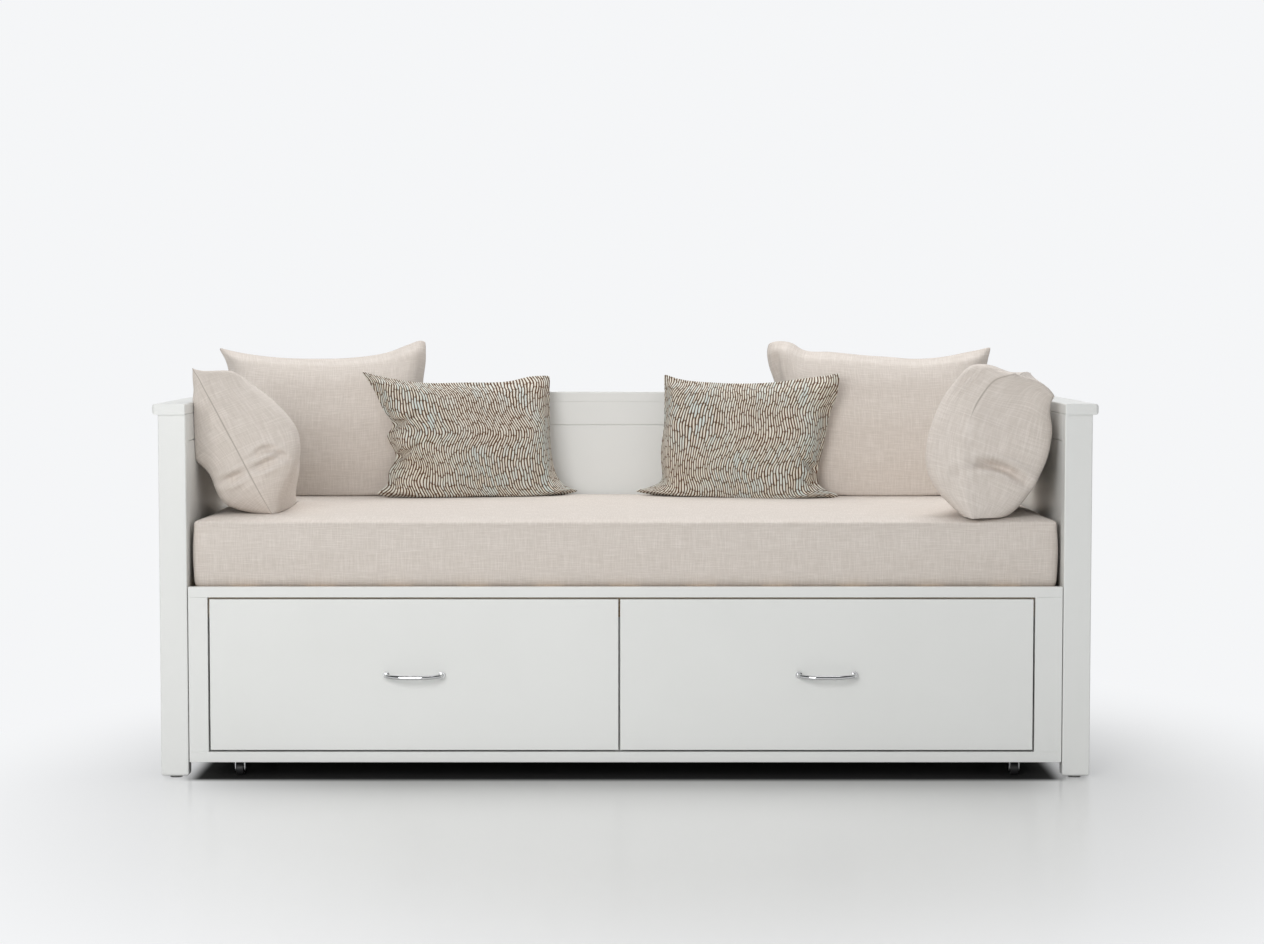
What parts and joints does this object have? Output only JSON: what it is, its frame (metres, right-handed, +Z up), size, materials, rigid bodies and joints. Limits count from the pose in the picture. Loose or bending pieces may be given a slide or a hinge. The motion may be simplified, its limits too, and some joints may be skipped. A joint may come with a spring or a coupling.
{
  "type": "storage daybed",
  "caption": "Three-sided daybed whose slatted front pulls out on casters to widen the bed, with storage drawers, a mattress and loose cushions.",
  "frame": {"origin": "on the floor, at the middle of the bounding box seen from above", "axes": "+X to the right of a person facing the drawers, +Y to the back panel, +Z up"},
  "size_m": [2.162, 1.0229, 0.9955],
  "materials": {
    "white_paint": "satin white paint",
    "lined_board": "white melamine",
    "pale_wood": "planed and unfinished",
    "linen": "plain weave with slubs",
    "patterned_fabric": "woven wavy dashes",
    "chrome": "polished",
    "galvanised_steel": "galvanised",
    "zinc_fasteners": "zinc plated",
    "black_caster": "moulded",
    "glide_plastic": "moulded"
  },
  "bodies": {
    "frame": {"back_bottom_rail": "white_paint", "back_cap": "white_paint", "back_panel": "white_paint", "back_top_rail": "white_paint", "beam_shoes": "galvanised_steel", "fixed_slats": "pale_wood", "foot_glides": "glide_plastic", "frame_bolts": "zinc_fasteners", "front_support_beam": "pale_wood", "left_back_cushion": "linen", "left_cap": "white_paint", "left_end_bottom_rail": "white_paint", "left_end_panel": "white_paint", "left_end_top_rail": "white_paint", "left_front_post": "white_paint", "left_lumbar_cushion": "patterned_fabric", "left_rear_post": "white_paint", "left_side_cushion": "linen", "mattress": "linen", "rear_slat_ledger": "pale_wood", "right_back_cushion": "linen", "right_cap": "white_paint", "right_end_bottom_rail": "white_paint", "right_end_panel": "white_paint", "right_end_top_rail": "white_paint", "right_front_post": "white_paint", "right_lumbar_cushion": "patterned_fabric", "right_rear_post": "white_paint", "right_side_cushion": "linen"},
    "pull_out": {"front_top_rail": "white_paint", "front_bottom_rail": "white_paint", "front_slat_ledger": "pale_wood", "left_stile": "white_paint", "right_stile": "white_paint", "left_carcase_side": "lined_board", "right_carcase_side": "lined_board", "centre_divider": "lined_board", "rear_cross_rail": "lined_board", "rear_bottom_rail": "lined_board", "pull_out_slats": "pale_wood", "carcase_runners": "galvanised_steel", "caster_forks": "galvanised_steel"},
    "left_drawer": {"left_drawer_front": "white_paint", "left_drawer_sides": "lined_board", "left_drawer_back": "lined_board", "left_drawer_bottom": "lined_board", "left_drawer_runners": "galvanised_steel", "left_handle": "chrome", "left_handle_screws": "zinc_fasteners"},
    "right_drawer": {"right_drawer_front": "white_paint", "right_drawer_sides": "lined_board", "right_drawer_back": "lined_board", "right_drawer_bottom": "lined_board", "right_drawer_runners": "galvanised_steel", "right_handle": "chrome", "right_handle_screws": "zinc_fasteners"},
    "left_front_caster": {"left_front_caster_wheel": "black_caster"},
    "left_rear_caster": {"left_rear_caster_wheel": "black_caster"},
    "right_front_caster": {"right_front_caster_wheel": "black_caster"},
    "right_rear_caster": {"right_rear_caster_wheel": "black_caster"}
  },
  "joints": [
    {"name": "pull_out_slide", "type": "slide", "parent": "frame", "child": "pull_out", "axis": [0, -1, 0], "range_m": [0, 0.85]},
    {"name": "left_drawer_slide", "type": "slide", "parent": "pull_out", "child": "left_drawer", "axis": [0, -1, 0], "range_m": [0, 0.45]},
    {"name": "right_drawer_slide", "type": "slide", "parent": "pull_out", "child": "right_drawer", "axis": [0, -1, 0], "range_m": [0, 0.45]},
    {"name": "left_front_caster_spin", "type": "hinge", "parent": "pull_out", "child": "left_front_caster", "pos_m": [-0.8925, -0.4265, 0.016], "axis": [1, 0, 0], "continuous": true},
    {"name": "left_rear_caster_spin", "type": "hinge", "parent": "pull_out", "child": "left_rear_caster", "pos_m": [-0.8925, 0.1235, 0.016], "axis": [1, 0, 0], "continuous": true},
    {"name": "right_front_caster_spin", "type": "hinge", "parent": "pull_out", "child": "right_front_caster", "pos_m": [0.9005, -0.4265, 0.016], "axis": [1, 0, 0], "continuous": true},
    {"name": "right_rear_caster_spin", "type": "hinge", "parent": "pull_out", "child": "right_rear_caster", "pos_m": [0.9005, 0.1235, 0.016], "axis": [1, 0, 0], "continuous": true}
  ],
  "couplings": [
    {"joint": "left_front_caster_spin", "follows": "pull_out_slide", "rad_per_m": 62.5},
    {"joint": "left_rear_caster_spin", "follows": "pull_out_slide", "rad_per_m": 62.5},
    {"joint": "right_front_caster_spin", "follows": "pull_out_slide", "rad_per_m": 62.5},
    {"joint": "right_rear_caster_spin", "follows": "pull_out_slide", "rad_per_m": 62.5}
  ]
}
